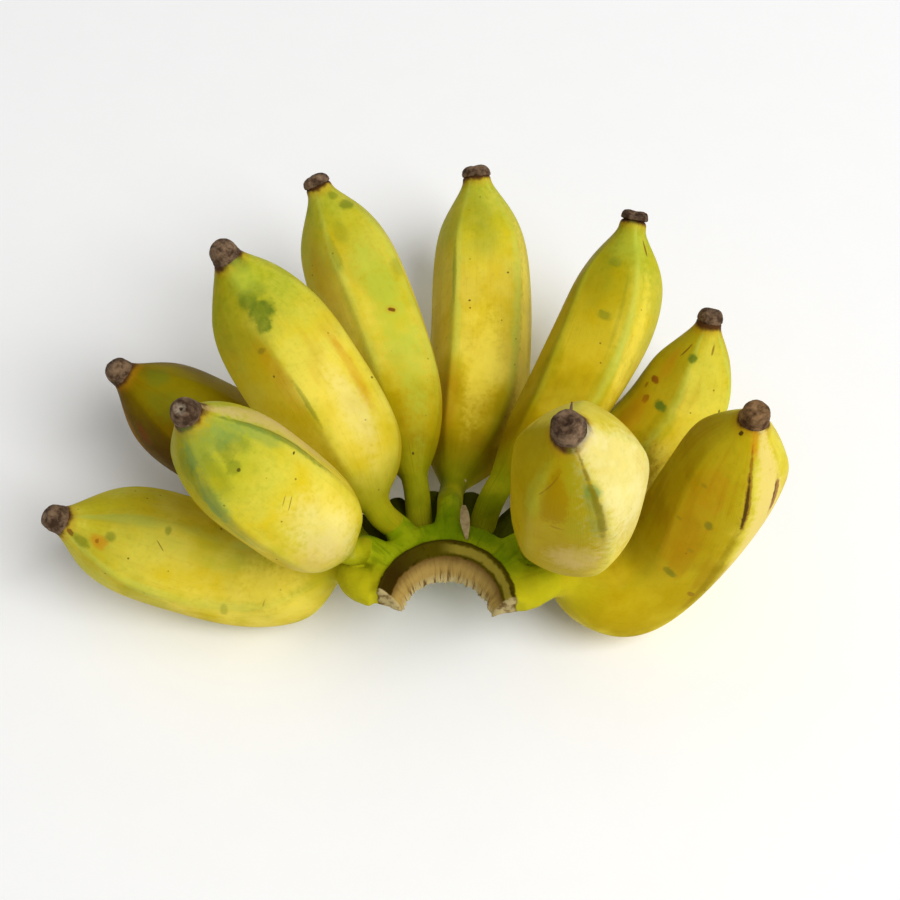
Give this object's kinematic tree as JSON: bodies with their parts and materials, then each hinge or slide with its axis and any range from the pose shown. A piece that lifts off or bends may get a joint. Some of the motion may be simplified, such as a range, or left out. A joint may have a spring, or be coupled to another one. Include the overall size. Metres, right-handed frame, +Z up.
{
  "type": "hand of baby bananas",
  "caption": "Hand of short plump ripe bananas that fan out in two rows from a half-ring crown, with dried dark blossom ends.",
  "frame": {"origin": "centre of the bounding box's underside, on the surface that the hand lies on", "axes": "+X along the fan of fingers, +Y from the crown towards the fan's far side, +Z up"},
  "size_m": [0.2033, 0.155, 0.1221],
  "materials": {
    "banana_peel": "waxy satin peel, yellow with green patches, orange tints, dark specks and greener ridges",
    "crown_skin": "green satin skin with a dark dried rim and a tan fibrous cut",
    "dried_blossom": "rough dry purple-brown tissue with a paler pit",
    "dried_scale": "dry beige bract tissue with fine lengthwise veins"
  },
  "bodies": {
    "root": {"crown": "crown_skin", "dried_scale": "dried_scale", "finger_01": "banana_peel", "finger_02": "banana_peel", "finger_03": "banana_peel", "finger_04": "banana_peel", "finger_05": "banana_peel", "finger_06": "banana_peel", "finger_07": "banana_peel", "finger_08": "banana_peel", "finger_09": "banana_peel", "finger_10": "banana_peel", "blossom_end_01": "dried_blossom", "blossom_end_02": "dried_blossom", "blossom_end_03": "dried_blossom", "blossom_end_04": "dried_blossom", "blossom_end_05": "dried_blossom", "blossom_end_06": "dried_blossom", "blossom_end_07": "dried_blossom", "blossom_end_08": "dried_blossom", "blossom_end_09": "dried_blossom", "blossom_end_10": "dried_blossom"}
  },
  "joints": []
}
